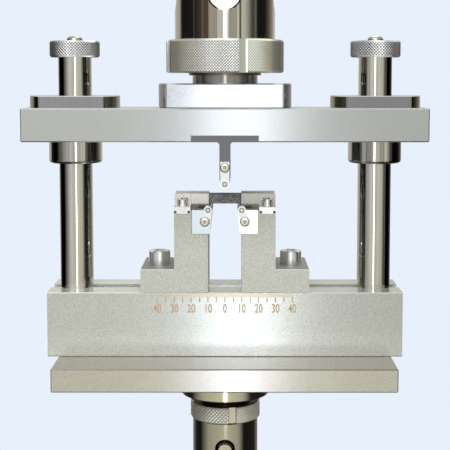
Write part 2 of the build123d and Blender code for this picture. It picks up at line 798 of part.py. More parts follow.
bushing_screw_seat = beam_top + bushing_flange_thickness - m5_cap_height
bushing_screw_length = bushing_screw_seat - beam_top + bushing_screw_reach - screw_end_gap
bushing_screw = cap_screw(m5_radius, bushing_screw_length, m5_cap_head, m5_cap_height, m5_cap_socket)
for side, x in (("left", -post_x), ("right", post_x)):
    screw_places = [(x + dx, dy) for dx, dy in four_corners(bushing_screw_x, bushing_screw_y)]
    with BuildPart() as bushing:
        with BuildSketch(Plane.XY.offset(beam_top)):
            with Locations((x, 0)):
                Circle(bushing_flange_radius)
                Rectangle(2 * bushing_flange_radius, 2 * bushing_flat, mode=Mode.INTERSECT)
        extrude(amount=bushing_flange_thickness)
        chamfer(faces().sort_by(Axis.Z)[-1].edges(), length=bushing_edge)
        with BuildSketch(Plane.XY.offset(beam_top)):
            with Locations((x, 0)):
                Circle(bushing_radius)
        extrude(amount=-beam_thickness - bushing_reach)
        fillet(faces().sort_by(Axis.Z)[0].edges(), radius=bushing_round)
        with BuildSketch(Plane.XY.offset(beam_base - bushing_reach)):
            with Locations((x, 0)):
                Circle(post_radius + running_clearance)
        extrude(amount=bushing_reach + beam_thickness + bushing_flange_thickness, mode=Mode.SUBTRACT)
        with Locations(*[(px, py, beam_top + bushing_flange_thickness) for px, py in screw_places]):
            CounterBoreHole(
                m5_radius + screw_clearance, m5_cap_head + head_clearance, m5_cap_height, bushing_flange_thickness
            )
    finish(bushing, f"{side}_bushing")

    with BuildPart() as bushing_screws:
        with Locations(*[(px, py, bushing_screw_seat) for px, py in screw_places]):
            add(bushing_screw)
    finish(bushing_screws, f"{side}_bushing_screws")

# Nose holder, loading roller and its clips

with BuildPart() as nose_holder:
    with BuildSketch(Plane.XZ):
        with Locations((0, beam_base + holder_thickness / 2)):
            Rectangle(holder_width, holder_thickness)
        with Locations((0, (beam_base + web_base) / 2)):
            Rectangle(web_width, web_height)
        corners = vertices().filter_by_position(Axis.Y, beam_base - pick_band, beam_base + pick_band)
        fillet(corners.sort_by(Axis.X)[1:3], web_fillet)
        with Locations((0, nose_roller_z)):
            Circle(nose_roller_radius + running_clearance, mode=Mode.SUBTRACT)
    extrude(amount=nose_face, both=True)
    with Locations(*[facing_down(x, y, beam_base) for x, y in four_corners(holder_screw_x, holder_screw_y)]):
        CounterSinkHole(m4_radius + screw_clearance, m4_flat_head + screw_clearance, holder_thickness)
    with Locations(
        facing_front(0, -nose_face, nose_roller_z + nose_clip_screw_rise),
        facing_back(0, nose_face, nose_roller_z + nose_clip_screw_rise),
    ):
        Hole(m3_radius + screw_clearance, clip_screw_reach)
finish(nose_holder, "nose_holder")

holder_screw = flat_screw(m4_radius, holder_screw_reach, m4_flat_head, m4_flat_height, m4_flat_socket)
with BuildPart() as holder_screws:
    for x, y in four_corners(holder_screw_x, holder_screw_y):
        with Locations(facing_down(x, y, beam_base)):
            add(holder_screw)
finish(holder_screws, "holder_screws")

with BuildPart() as nose_roller:
    with BuildSketch(Plane.XZ):
        with Locations((0, nose_roller_z)):
            Circle(nose_roller_radius)
    extrude(amount=nose_face - slide_clearance, both=True)
    with BuildSketch(Plane.XZ):
        with Locations((0, nose_roller_z)):
            Circle(journal_radius)
    extrude(amount=nose_face + clip_thickness, both=True)
finish(nose_roller, "nose_roller")

for side, face in (("front", Plane.XZ.offset(nose_face)), ("rear", Plane.XZ.offset(-nose_face - clip_thickness))):
    with BuildPart() as nose_clip:
        with BuildSketch(face):
            with Locations((0, nose_roller_z)):
                Circle(nose_clip_width / 2)
            with Locations((0, nose_roller_z + (nose_clip_screw_rise + nose_clip_top) / 2)):
                Rectangle(nose_clip_width, nose_clip_screw_rise + nose_clip_top)
            with Locations((0, nose_roller_z)):
                Circle(journal_radius + running_clearance, mode=Mode.SUBTRACT)
            with Locations((0, nose_roller_z + nose_clip_screw_rise)):
                Circle(m3_radius + screw_clearance, mode=Mode.SUBTRACT)
        extrude(amount=clip_thickness)
    finish(nose_clip, f"{side}_nose_clip")

nose_clip_face = nose_face + clip_thickness
with BuildPart() as nose_clip_screws:
    with Locations(
        facing_front(0, -nose_clip_face, nose_roller_z + nose_clip_screw_rise),
        facing_back(0, nose_clip_face, nose_roller_z + nose_clip_screw_rise),
    ):
        add(clip_screw)
finish(nose_clip_screws, "nose_clip_screws")

# Upper adapter, lock nut, sleeve and cross pin

with BuildPart() as upper_adapter:
    with BuildSketch(Plane.XY.offset(beam_top)):
        Circle(adapter_flange_radius)
        Rectangle(2 * adapter_flange_radius, 2 * adapter_flat, mode=Mode.INTERSECT)
    extrude(amount=adapter_flange_thickness)
    chamfer(edges().group_by(Axis.Z)[-1] + edges().group_by(Axis.Z)[0], length=adapter_edge)
    with BuildSketch(Plane.XY.offset(adapter_top)):
        Circle(adapter_flat)
    extrude(amount=neck_height)
    with BuildSketch(Plane.XY.offset(neck_top)):
        Circle(upper_stem_radius)
    extrude(amount=upper_bore_top - upper_stem_end_gap - neck_top)
    with BuildSketch(Plane.XY.offset(beam_top)):
        Circle(adapter_centring_radius)
    extrude(amount=-adapter_centring_depth)
    with BuildSketch(Plane.XY.offset(beam_top)):
        with Locations(*four_corners(adapter_screw_x, adapter_screw_y)):
            Circle(m6_radius + screw_clearance)
    extrude(amount=adapter_screw_reach, mode=Mode.SUBTRACT)
    with BuildSketch(Plane.XZ):
        with Locations((0, upper_pin_z)):
            Circle(upper_pin_radius + running_clearance)
    extrude(amount=upper_sleeve_radius, both=True, mode=Mode.SUBTRACT)
finish(upper_adapter, "upper_adapter")

adapter_screw_length = beam_thickness - m6_cap_height + adapter_screw_reach - screw_end_gap
adapter_screw = cap_screw(m6_radius, adapter_screw_length, m6_cap_head, m6_cap_height, m6_cap_socket)
with BuildPart() as adapter_screws:
    for x, y in four_corners(adapter_screw_x, adapter_screw_y):
        with Locations(facing_down(x, y, beam_base + m6_cap_height)):
            add(adapter_screw)
finish(adapter_screws, "adapter_screws")

with BuildPart() as upper_lock_nut:
    with BuildSketch(Plane.XY.offset(nut_base + upper_collar_height)):
        Circle(upper_nut_radius)
    extrude(amount=upper_nut_height)
    chamfer(edges().filter_by(GeomType.CIRCLE), length=upper_nut_edge)
    with BuildSketch(Plane.XY.offset(nut_base + upper_collar_height)):
        with PolarLocations(upper_nut_radius, 4, start_angle=upper_slot_angle):
            Rectangle(2 * upper_slot_depth, upper_slot_width)
    extrude(amount=upper_nut_height, mode=Mode.SUBTRACT)
    with BuildSketch(Plane.XY.offset(nut_base)):
        Circle(upper_collar_radius)
    extrude(amount=upper_collar_height)
    with BuildSketch(Plane.XY.offset(nut_base)):
        Circle(upper_stem_radius + running_clearance)
    extrude(amount=nut_top - nut_base, mode=Mode.SUBTRACT)
finish(upper_lock_nut, "upper_lock_nut")

with BuildPart() as upper_sleeve:
    with BuildSketch(Plane.XY.offset(upper_sleeve_base)):
        Circle(upper_sleeve_radius)
    extrude(amount=upper_sleeve_height)
    chamfer(edges().filter_by(GeomType.CIRCLE), length=sleeve_edge)
    with BuildSketch(Plane.XY.offset(upper_sleeve_base)):
        Circle(upper_stem_radius + screw_clearance)
    extrude(amount=upper_sleeve_height - upper_socket_depth, mode=Mode.SUBTRACT)
    with BuildSketch(Plane.XY.offset(upper_sleeve_top)):
        Circle(upper_socket_radius)
    extrude(amount=-upper_socket_depth, mode=Mode.SUBTRACT)
    with BuildSketch(Plane.XZ):
        with Locations((0, upper_pin_z)):
            Circle(upper_pin_radius + running_clearance)
    extrude(amount=2 * upper_sleeve_radius, both=True, mode=Mode.SUBTRACT)
    with BuildSketch(Plane.YZ):
        with Locations((0, upper_pin_z)):
            Circle(upper_side_hole_radius)
    extrude(amount=2 * upper_sleeve_radius, both=True, mode=Mode.SUBTRACT)
finish(upper_sleeve, "upper_sleeve")

with BuildPart() as upper_cross_pin:
    with BuildSketch(Plane.XZ):
        with Locations((0, upper_pin_z)):
            Circle(upper_pin_radius)
    extrude(amount=upper_pin_length / 2, both=True)
    chamfer(edges().filter_by(GeomType.CIRCLE), length=pin_edge)
finish(upper_cross_pin, "upper_cross_pin")
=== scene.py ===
import math

import bpy
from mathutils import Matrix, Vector


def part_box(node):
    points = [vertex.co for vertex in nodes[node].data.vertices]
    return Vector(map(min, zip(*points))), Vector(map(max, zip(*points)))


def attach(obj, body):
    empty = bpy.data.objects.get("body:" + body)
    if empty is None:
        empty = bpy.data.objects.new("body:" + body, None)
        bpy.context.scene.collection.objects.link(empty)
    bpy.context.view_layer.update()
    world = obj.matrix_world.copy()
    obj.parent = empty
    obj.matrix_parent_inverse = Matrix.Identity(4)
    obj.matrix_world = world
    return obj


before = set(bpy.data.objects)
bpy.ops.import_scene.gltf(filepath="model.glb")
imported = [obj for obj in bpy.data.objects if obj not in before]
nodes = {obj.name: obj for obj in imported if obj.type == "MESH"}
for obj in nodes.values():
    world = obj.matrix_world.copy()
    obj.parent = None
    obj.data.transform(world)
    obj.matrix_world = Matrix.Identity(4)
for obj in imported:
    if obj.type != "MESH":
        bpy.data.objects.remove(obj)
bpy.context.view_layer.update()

scene = bpy.context.scene
scene.view_settings.view_transform = "Standard"

MM = 0.001
# further out than the object reaches on any side
FAR = 0.3
LEFT_HALF = (-FAR, 0.0)
RIGHT_HALF = (0.0, FAR)
FRONT_HALF = (-FAR, 0.0)


def linear(r, g, b):
    """An sRGB colour in 0..255 as the linear values that shaders take."""
    out = []
    for value in (r, g, b):
        c = value / 255
        out.append(c / 12.92 if c <= 0.04045 else ((c + 0.055) / 1.055) ** 2.4)
    return (*out, 1.0)


def rgba(color):
    """A colour, or one level for all its channels, as the four values that a socket takes."""
    return (*color, 1.0) if isinstance(color, tuple) else (color, color, color, 1.0)


BACKGROUND = linear(231, 240, 251)


# Node helpers

class Graph:
    """Adds nodes to one node tree and links them."""

    def __init__(self, tree, clear=True):
        self.tree = tree
        if clear:
            tree.nodes.clear()

    def add(self, kind, **properties):
        """A new node of this kind, with these properties set."""
        node = self.tree.nodes.new(kind)
        for key, value in properties.items():
            setattr(node, key, value)
        return node

    def link(self, out, into):
        self.tree.links.new(out, into)

    def put(self, value, socket):
        """Links the socket where the value is a node's output, and sets it where it is a plain value."""
        if isinstance(value, bpy.types.NodeSocket):
            self.link(value, socket)
        else:
            socket.default_value = value

    def math(self, operation, first, second=None):
        node = self.add("ShaderNodeMath", operation=operation)
        self.put(first, node.inputs[0])
        if second is not None:
            self.put(second, node.inputs[1])
        return node.outputs[0]

    def plus(self, first, second):
        return self.math("ADD", first, second)

    def minus(self, first, second):
        return self.math("SUBTRACT", first, second)

    def times(self, first, second):
        return self.math("MULTIPLY", first, second)

    def distance(self, first, second):
        """How far a point is from the origin of two axes at right angles."""
        return self.math("SQRT", self.plus(self.times(first, first), self.times(second, second)))

    def inside(self, value, limits):
        """1 where the value lies between the limits, and 0 elsewhere."""
        low, high = limits
        return self.times(self.math("GREATER_THAN", value, low), self.math("LESS_THAN", value, high))

    def span(self, value, low, high, at_low=0.0, at_high=1.0, smooth=False):
        """The value carried over from low..high to at_low..at_high, and held beyond the ends."""
        node = self.add("ShaderNodeMapRange")
        if smooth:
            node.interpolation_type = "SMOOTHSTEP"
        settings = {"From Min": low, "From Max": high, "To Min": at_low, "To Max": at_high}
        for key, setting in settings.items():
            node.inputs[key].default_value = setting
        self.link(value, node.inputs["Value"])
        return node.outputs["Result"]

    def mix(self, factor, first, second, blend="MIX"):
        """Two colours mixed as far as the factor says."""
        node = self.add("ShaderNodeMix", data_type="RGBA", blend_type=blend)
        for key, value in (("Factor", factor), ("A", first), ("B", second)):
            self.put(value, node.inputs[key])
        return node.outputs["Result"]

    def mix_shaders(self, factor, first, second):
        node = self.add("ShaderNodeMixShader")
        for socket, value in zip(node.inputs, (factor, first, second)):
            self.link(value, socket)
        return node.outputs[0]

    def ramp(self, factor, stops):
        """A colour that runs through the stops, each a place in 0..1 and a colour."""
        node = self.add("ShaderNodeValToRGB")
        elements = node.color_ramp.elements
        while len(elements) > 1:
            elements.remove(elements[-1])
        elements[0].position, elements[0].color = stops[0]
        for position, color in stops[1:]:
            elements.new(position).color = color
        self.link(factor, node.inputs["Fac"])
        return node.outputs["Color"]

    def coordinates(self, kind="Object"):
        return self.add("ShaderNodeTexCoord").outputs[kind]

    def axes(self, vector):
        """X, Y and Z of the vector."""
        split = self.add("ShaderNodeSeparateXYZ")
        self.link(vector, split.inputs[0])
        return split.outputs["X"], split.outputs["Y"], split.outputs["Z"]

    def mapped(self, scale=(1, 1, 1), turn=0.0):
        """Object coordinates, in metres times the scale, in axes turned by this angle about Z."""
        mapping = self.add("ShaderNodeMapping")
        mapping.inputs["Scale"].default_value = scale
        mapping.inputs["Rotation"].default_value = (0, 0, -turn)
        self.link(self.coordinates(), mapping.inputs["Vector"])
        return mapping.outputs["Vector"]

    def bump(self, shader, height, strength, depth):
        node = self.add("ShaderNodeBump")
        node.inputs["Strength"].default_value = strength
        node.inputs["Distance"].default_value = depth
        self.link(height, node.inputs["Height"])
        self.link(node.outputs["Normal"], shader.inputs["Normal"])


def new_material(name):
    """A material with the principled shader, its graph and that shader."""
    material = bpy.data.materials.new(name)
    material.use_nodes = True
    graph = Graph(material.node_tree)
    shader = graph.add("ShaderNodeBsdfPrincipled")
    output = graph.add("ShaderNodeOutputMaterial")
    graph.link(shader.outputs[0], output.inputs[0])
    return material, graph, shader


def give(material, *names):
    """Puts the material on these CAD nodes, in place of their own."""
    for name in names:
        mesh = nodes[name].data
        mesh.materials.clear()
        mesh.materials.append(material)


# Metals

GRAIN_DEPTH = 0.1 * MM
KNURL_DEPTH = 0.35 * MM


def metal(name, color, roughness, grain=0.06, grain_scale=1400, stretch=(1, 1, 1), bump=0.0, metallic=1.0,
          specular=0.5, rough_spread=0.04):
    """A metal whose colour, roughness and surface vary with a fine grain."""
    material, graph, shader = new_material(name)
    noise = graph.add("ShaderNodeTexNoise")
    noise.inputs["Scale"].default_value = grain_scale
    noise.inputs["Detail"].default_value = 2.0
    graph.link(graph.mapped(stretch), noise.inputs["Vector"])
    grained = noise.outputs["Fac"]
    dark = tuple(c * (1 - grain) for c in color[:3])
    light = tuple(min(1.0, c * (1 + grain)) for c in color[:3])
    graph.link(graph.ramp(grained, [(0.3, rgba(dark)), (0.7, rgba(light))]), shader.inputs["Base Color"])
    rough = graph.span(grained, 0.0, 1.0, roughness - rough_spread, roughness + rough_spread)
    graph.link(rough, shader.inputs["Roughness"])
    shader.inputs["Metallic"].default_value = metallic
    shader.inputs["Specular IOR Level"].default_value = specular
    if bump:
        graph.bump(shader, grained, bump, GRAIN_DEPTH)
    return material


def turned(name, color, roughness, rough_spread=0.03):
    """A polished round metal, with a faint grain drawn out along its axis."""
    return metal(name, color, roughness, grain=0.03, grain_scale=600, stretch=(1, 1, 0.1),
                 rough_spread=rough_spread)


def knurled(name, color, centre_x, radius, pitch, edge, dark, metallic=1.0):
    """Gives the node a metal with a diamond knurl on its rim, and returns that metal.

    edge: the height that stays plain above and below.
    dark: the level of the painted shade in the knurl's grooves.
    """
    low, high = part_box(name)
    material, graph, shader = new_material(f"knurl_{name}")
    x, y, z = graph.axes(graph.coordinates())
    from_centre = graph.minus(x, centre_x)
    around = graph.times(graph.math("ARCTAN2", y, from_centre), radius)
    half_wave = math.pi / (pitch * math.sqrt(2))
    rising, falling = (graph.math("ABSOLUTE", graph.math("SINE", graph.times(along, half_wave)))
                       for along in (graph.plus(around, z), graph.minus(around, z)))
    on_rim = graph.math("GREATER_THAN", graph.distance(from_centre, y), radius - 0.4 * MM)
    mask = graph.times(graph.inside(z, (low.z + edge, high.z - edge)), on_rim)
    height = graph.times(graph.math("MINIMUM", rising, falling), mask)
    graph.bump(shader, height, 1.0, KNURL_DEPTH)
    # the colour is full from this height on, and on all that isn't knurled
    full = 0.6
    shown = graph.plus(height, graph.times(graph.minus(1.0, mask), full))
    # painted shade in the knurl's grooves and painted light on its crests
    groove = tuple(c * dark for c in color[:3])
    crest = tuple(min(1.0, c * 1.1) for c in color[:3])
    graph.link(graph.ramp(shown, [(0.0, rgba(groove)), (full, rgba(crest))]), shader.inputs["Base Color"])
    shader.inputs["Metallic"].default_value = metallic
    shader.inputs["Roughness"].default_value = 0.3
    give(material, name)
    return material


# Changes of colour by place, which stand for what a piece mirrors and for shadowed joints

def multiply_color(graph, color, mask=1.0):
    """Multiplies the shader's colour by this one, as far as the mask says."""
    base = graph.tree.nodes["Principled BSDF"].inputs["Base Color"]
    before = base.links[0].from_socket
    graph.link(graph.mix(mask, before, color, blend="MULTIPLY"), base)


def tint(material, color, x=None, y=None, z=None, rim=None, ring=None, turn=0.0, metallic=None):
    """Multiplies the colour by this one, or by this level, inside these ranges of X, Y and Z.

    rim: a centre on X, for both sides, with the least and greatest distance from it, seen from above.
    ring: a centre on X and Z, with the least and greatest distance from it, seen from the front.
    turn: the angle about Z of the axes that X and Y are measured on.
    metallic: that setting's value inside the ranges.
    """
    graph = Graph(material.node_tree, clear=False)
    along, across, up = graph.axes(graph.mapped(turn=turn))
    values = [(value, limits) for value, limits in ((along, x), (across, y), (up, z)) if limits]
    if rim:
        centre_x, *limits = rim
        from_centre = graph.minus(graph.math("ABSOLUTE", along), centre_x)
        values.append((graph.distance(from_centre, across), limits))
    if ring:
        centre_x, centre_z, *limits = ring
        values.append((graph.distance(graph.minus(along, centre_x), graph.minus(up, centre_z)), limits))
    mask = None
    for value, limits in values:
        inside = graph.inside(value, limits)
        mask = inside if mask is None else graph.times(mask, inside)
    multiply_color(graph, rgba(color), mask)
    if metallic is not None:
        setting = graph.tree.nodes["Principled BSDF"].inputs["Metallic"]
        graph.link(graph.span(mask, 0.0, 1.0, setting.default_value, metallic), setting)


def bands(material, centre_x, rows, **limits):
    """Tints stretches of X, each given by its two ends in mm from centre_x and a colour."""
    for low, high, color in rows:
        tint(material, color, x=(centre_x + low * MM, centre_x + high * MM), **limits)


def slope(material, axis, low, high, at_low, at_high):
    """Multiplies the colour by a level that runs along the axis from at_low to at_high."""
    graph = Graph(material.node_tree, clear=False)
    place = dict(zip("XYZ", graph.axes(graph.coordinates())))[axis]
    multiply_color(graph, graph.span(place, low, high, at_low, at_high))


def profile(material, centre_x, stops, y=None):
    """Multiplies the colour by one that runs across X, in front of y where that is given.

    Each stop is a place in mm from centre_x and a colour or a level.
    """
    graph = Graph(material.node_tree, clear=False)
    along, across, _ = graph.axes(graph.coordinates())
    low, high = stops[0][0], stops[-1][0]
    run = graph.span(along, centre_x + low * MM, centre_x + high * MM)
    colors = graph.ramp(run, [((place - low) / (high - low), rgba(color)) for place, color in stops])
    multiply_color(graph, colors, graph.math("LESS_THAN", across, y) if y else 1.0)


# Places that the finishes are measured from

def middle(name):
    """The node's middle on X and Z."""
    low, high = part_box(name)
    return (low.x + high.x) / 2, (low.z + high.z) / 2


beam_low, beam_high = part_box("beam")
block_low, block_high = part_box("base_block")
support_low, support_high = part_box("left_support_block")
post_x = middle("right_post")[0]
# a thin layer at a face, on both sides of it
SKIN = 0.1 * MM


# Beam and base block

satin = metal("satin_steel", linear(191, 193, 187), 0.19, grain=0.24, grain_scale=1900, bump=0.08,
              metallic=0.6)
give(satin, "beam", "base_block")
# painted shade on the beam and painted light on the block, which share one steel
tint(satin, (0.95, 0.95, 0.98), z=(beam_low.z - 1 * MM, 2 * FAR))
tint(satin, (1.05, 1.05, 1.03), z=(0.0, block_high.z + 1 * MM))
# painted light and shade: both are a little paler towards the left, and the block towards its lower edge
slope(satin, "X", -0.1, 0.1, 1.1, 0.97)
slope(satin, "Z", block_low.z + 2 * MM, block_low.z + 18 * MM, 1.18, 1.0)
# painted light: the block's top is paler left of the supports
tint(satin, (1.2, 1.22, 1.18), x=(-FAR, support_low.x), z=(block_high.z - SKIN, block_high.z + SKIN))
# the fronts' colour is painted bluer and darker where the strip lamp glares on them, to soften that
# highlight
profile(satin, 0.0, [(-120, 1.0), (-50, 1.0), (-22, (0.87, 0.88, 0.93)), (0, (0.88, 0.90, 0.98)),
                     (22, (0.92, 0.94, 1.0)), (50, (1.0, 1.0, 1.03)), (120, 1.0)], y=-15 * MM)
# painted highlight on the slot's far wall, brightest between the supports; that stretch ends below their
# feet
slot_wall = {"y": (4.8 * MM, 5.2 * MM), "z": (block_high.z - 6 * MM, block_high.z - 0.2 * MM)}
painted_highlight_end = 44 * MM
tint(satin, (1.9, 1.95, 2.1), x=(-painted_highlight_end, painted_highlight_end), metallic=0.0, **slot_wall)
tint(satin, (1.2, 1.2, 1.3), x=(-FAR, -painted_highlight_end), **slot_wall)
tint(satin, (1.2, 1.2, 1.3), x=(painted_highlight_end, FAR), **slot_wall)


# Bottom plate

warm = metal("warm_steel", linear(206, 203, 189), 0.18, grain=0.17, grain_scale=1900, bump=0.05,
             metallic=0.62)
give(warm, "bottom_plate")
plate_low, plate_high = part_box("bottom_plate")
plate_front = (plate_low.y - 1 * MM, plate_low.y + 0.7 * MM)
# painted shade on the plate's top
tint(warm, (0.64, 0.60, 0.61), z=(plate_high.z - SKIN, plate_high.z + 1 * MM))
# painted reflection: the front is bluer
tint(warm, (1.0, 1.01, 1.19), y=plate_front)
# painted reflection: the front has a paler stretch in the middle, between two darker ones
profile(warm, 0.0, [(-125, (0.97, 0.96, 0.80)), (-40, (0.95, 0.94, 0.80)), (-26, (0.89, 0.88, 0.81)),
                    (-12, (0.80, 0.79, 0.77)), (-5, (0.79, 0.79, 0.80)), (0, 0.93), (9, 0.93), (15, 0.81),
                    (24, (0.77, 0.76, 0.73)), (38, (0.84, 0.82, 0.74)), (58, (0.97, 0.96, 0.83)),
                    (125, (0.96, 0.95, 0.79))], y=plate_front[1])
# painted shade: a dark line along its upper edge
tint(warm, (0.3, 0.28, 0.26), y=plate_front, z=(plate_high.z - 0.7 * MM, plate_high.z + 1 * MM))


# Upper adapter: the round ends of its flange are darker than its flats, as painted reflection, and the neck
# above it is darker too, as painted shade

ADAPTER_RADIUS = 40 * MM
ADAPTER_THICKNESS = 14.6 * MM
NECK_RADIUS = 19.6 * MM
NECK_HEIGHT = 4.6 * MM
flange = metal("flange_steel", linear(203, 205, 212), 0.18, grain=0.09, grain_scale=1100, metallic=0.68)
give(flange, "upper_adapter")
round_end = (0.0, ADAPTER_RADIUS - 0.8 * MM, FAR)
tint(flange, (0.46, 0.45, 0.41), rim=round_end, x=LEFT_HALF)
tint(flange, (0.30, 0.29, 0.26), rim=round_end, x=RIGHT_HALF)
neck_bottom = beam_high.z + ADAPTER_THICKNESS
tint(flange, (0.62, 0.58, 0.5), rim=(0.0, NECK_RADIUS - 0.4 * MM, NECK_RADIUS + 0.3 * MM),
     z=(neck_bottom, neck_bottom + NECK_HEIGHT))


# Guide posts and bushings, with the dark and bright bands that they mirror painted into their colour

POLISH = linear(218, 216, 206)
post_metal = turned("post_steel", POLISH, 0.08, rough_spread=0.02)
give(post_metal, "left_post", "right_post")
bands(post_metal, -post_x, ((-9.1, -5.9, 0.02), (-5.7, -3.7, 0.65), (6.0, 7.8, 0.12)), y=FRONT_HALF)
bands(post_metal, post_x, ((-7.8, -6.0, 0.25), (6.1, FAR / MM, 0.05)), y=FRONT_HALF)

BUSHING_FLANGE_RADIUS = 27 * MM
BUSHING_FLAT = 19 * MM
bushing_metal = turned("bushing_steel", POLISH, 0.1)
give(bushing_metal, "left_bushing", "right_bushing")
bushing_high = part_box("left_bushing")[1]
# painted reflection: the flange's round rim is darker, and its front flat darker and bluer
tint(bushing_metal, (0.55, 0.55, 0.5), rim=(post_x, BUSHING_FLANGE_RADIUS - 0.5 * MM, FAR))
flat_front = (-FAR, 0.5 * MM - BUSHING_FLAT)
tint(bushing_metal, (0.65, 0.67, 0.75), x=LEFT_HALF, y=flat_front)
tint(bushing_metal, (0.54, 0.56, 0.62), x=RIGHT_HALF, y=flat_front)
# painted highlights on the corners where the flats end
for side in (-1, 1):
    for end in (-1, 1):
        corner_x = side * post_x + end * 19.2 * MM
        tint(bushing_metal, 1.8, x=(corner_x - 0.6 * MM, corner_x + 0.4 * MM),
             y=(-FAR, 0.8 * MM - BUSHING_FLAT), z=(beam_high.z, FAR))
below_beam = (0.0, beam_low.z)
bands(bushing_metal, -post_x, ((-11.7, -9.5, 0.12), (-9.5, -5.8, 0.4), (-5.8, -1.5, 0.68), (0.5, 5.0, 0.72),
                               (7.5, 13.5, 0.4)), y=FRONT_HALF, z=below_beam)
bands(bushing_metal, post_x, ((-11.5, -9.0, 0.5), (-7.0, -3.5, 0.45), (-3.5, -1.0, 0.7), (1.0, 4.0, 0.6),
                              (8.5, FAR / MM, 0.15)), y=FRONT_HALF, z=below_beam)
# painted highlight on the bushings' tops
tint(bushing_metal, (1.9, 1.9, 1.8), z=(bushing_high.z - 0.4 * MM, bushing_high.z + 1 * MM))


# Upper sleeve and pin, with the bands that the sleeve's rim mirrors painted into their colour

nut_low, nut_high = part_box("upper_lock_nut")
sleeve_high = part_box("upper_sleeve")[1]
sleeve_metal = turned("sleeve_steel", POLISH, 0.1)
give(sleeve_metal, "upper_sleeve", "upper_cross_pin")
bands(sleeve_metal, 0.0, ((-17.5, -13.5, (0.15, 0.12, 0.10)), (-13.5, -12.0, (0.34, 0.25, 0.20)),
                          (-12.0, -9.3, (0.20, 0.15, 0.12)), (-9.3, -4.2, (0.62, 0.54, 0.46)),
                          (2.6, 7.3, (0.62, 0.62, 0.58)), (8.5, 9.7, (0.30, 0.30, 0.27))),
      y=FRONT_HALF, rim=(0.0, sleeve_high.x - 1.3 * MM, FAR), z=(nut_low.z, sleeve_high.z - 0.6 * MM))


# Lower sleeve, pin and spigot, whose spigot is painted black below its disc, as shade on its neck and
# thread

THREAD_TOP = 60 * MM
lower_metal = turned("lower_sleeve_steel", linear(206, 202, 182), 0.14)
give(lower_metal, "lower_sleeve", "lower_cross_pin")
spigot_metal = turned("spigot_steel", linear(230, 225, 200), 0.15)
give(spigot_metal, "lower_spigot")
tint(spigot_metal, (0.05, 0.04, 0.03), z=(0.0, THREAD_TOP))


# Support blocks

FOOT_HEIGHT = 14.1 * MM
FOOT_LENGTH = 20 * MM
TONGUE_FROM_END = 4.95 * MM
blasted = metal("blasted_steel", linear(190, 191, 182), 0.5, grain=0.24, grain_scale=1900, bump=0.2,
                metallic=0.5)
give(blasted, "left_support_block", "right_support_block")
support_front = (-FAR, support_low.y + 0.3 * MM)
# painted shade on the feet's tops, and a painted highlight on their front edge
foot_top = block_high.z + FOOT_HEIGHT
foot_inner = abs(support_low.x) - FOOT_LENGTH + 0.2 * MM
for foot_x in ((-FAR, -foot_inner), (foot_inner, FAR)):
    tint(blasted, 0.34, x=foot_x, z=(foot_top - SKIN, foot_top + SKIN))
    tint(blasted, 1.25, x=foot_x, y=support_front, z=(foot_top - 0.7 * MM, foot_top - SKIN))
# shadowed gaps beside the guides' tongues
tongue_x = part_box("right_front_guide")[1].x - TONGUE_FROM_END
for side in (-1, 1):
    for gap in (-1, 1):
        gap_x = side * tongue_x + gap * 4.0 * MM
        tint(blasted, 0.1, x=(gap_x - 0.7 * MM, gap_x + 0.6 * MM), y=support_front,
             z=(support_high.z - 1.3 * MM, support_high.z + SKIN))
# painted shade: the columns are darker towards their top
slope(blasted, "Z", support_high.z - 24.1 * MM, support_high.z - 4 * MM, 1.0, 0.82)


# Roller seats, whose one steel is paler on the right than on the left as painted light, with painted shade
# on top and where they join the blocks

left_seat = metal("left_seat_steel", linear(196, 203, 210), 0.35, grain=0.04, grain_scale=900)
right_seat = metal("right_seat_steel", linear(250, 250, 252), 0.35, grain=0.03, grain_scale=900)
for seat, name in ((left_seat, "left_roller_seat"), (right_seat, "right_roller_seat")):
    give(seat, name)
    seat_low, seat_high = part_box(name)
    tint(seat, (0.2, 0.19, 0.16), z=(seat_high.z - 0.3 * MM, seat_high.z + 1 * MM))
    tint(seat, 0.25, z=(seat_low.z - 1 * MM, seat_low.z + 0.3 * MM))
    joint_x = seat_low.x if seat is left_seat else seat_high.x
    tint(seat, 0.25, x=(joint_x - 0.3 * MM, joint_x + 0.3 * MM))


# Side guides, a lit copy of one steel on the left and a shaded one on the right, whose plates and tongues
# are painted brighter than the walls above them, as light

left_guide = metal("left_guide_steel", linear(200, 197, 190), 0.45, grain=0.09, grain_scale=1300,
                   bump=0.2, metallic=0.5)
right_guide = metal("right_guide_steel", linear(172, 171, 163), 0.45, grain=0.09, grain_scale=1300,
                    bump=0.2, metallic=0.5)
give(left_guide, "left_front_guide", "left_rear_guide")
give(right_guide, "right_front_guide", "right_rear_guide")
below_walls = (0.0, support_high.z + 2.2 * MM)
tint(left_guide, (1.22, 1.28, 1.42), z=below_walls)
tint(right_guide, (2.0, 2.05, 2.3), z=below_walls)


# Rollers: the ends of their journals are painted dark as shade, with a paler middle

JOURNAL_MIDDLE = 1.05 * MM
JOURNAL_RADIUS = 1.6 * MM
roller_metal = metal("roller_steel", linear(205, 205, 202), 0.25, grain=0.03, grain_scale=900,
                     metallic=0.8)
at_front = (-FAR, -10.5 * MM)
for name in ("left_roller", "right_roller", "nose_roller"):
    give(roller_metal, name)
    tint(roller_metal, (0.12, 0.12, 0.11), ring=(*middle(name), JOURNAL_MIDDLE, JOURNAL_RADIUS), y=at_front)
    tint(roller_metal, (0.55, 0.55, 0.5), ring=(*middle(name), 0.0, JOURNAL_MIDDLE), y=at_front)


# Clips and their screws, whose heads are painted dark as shade at the rim and in the recess

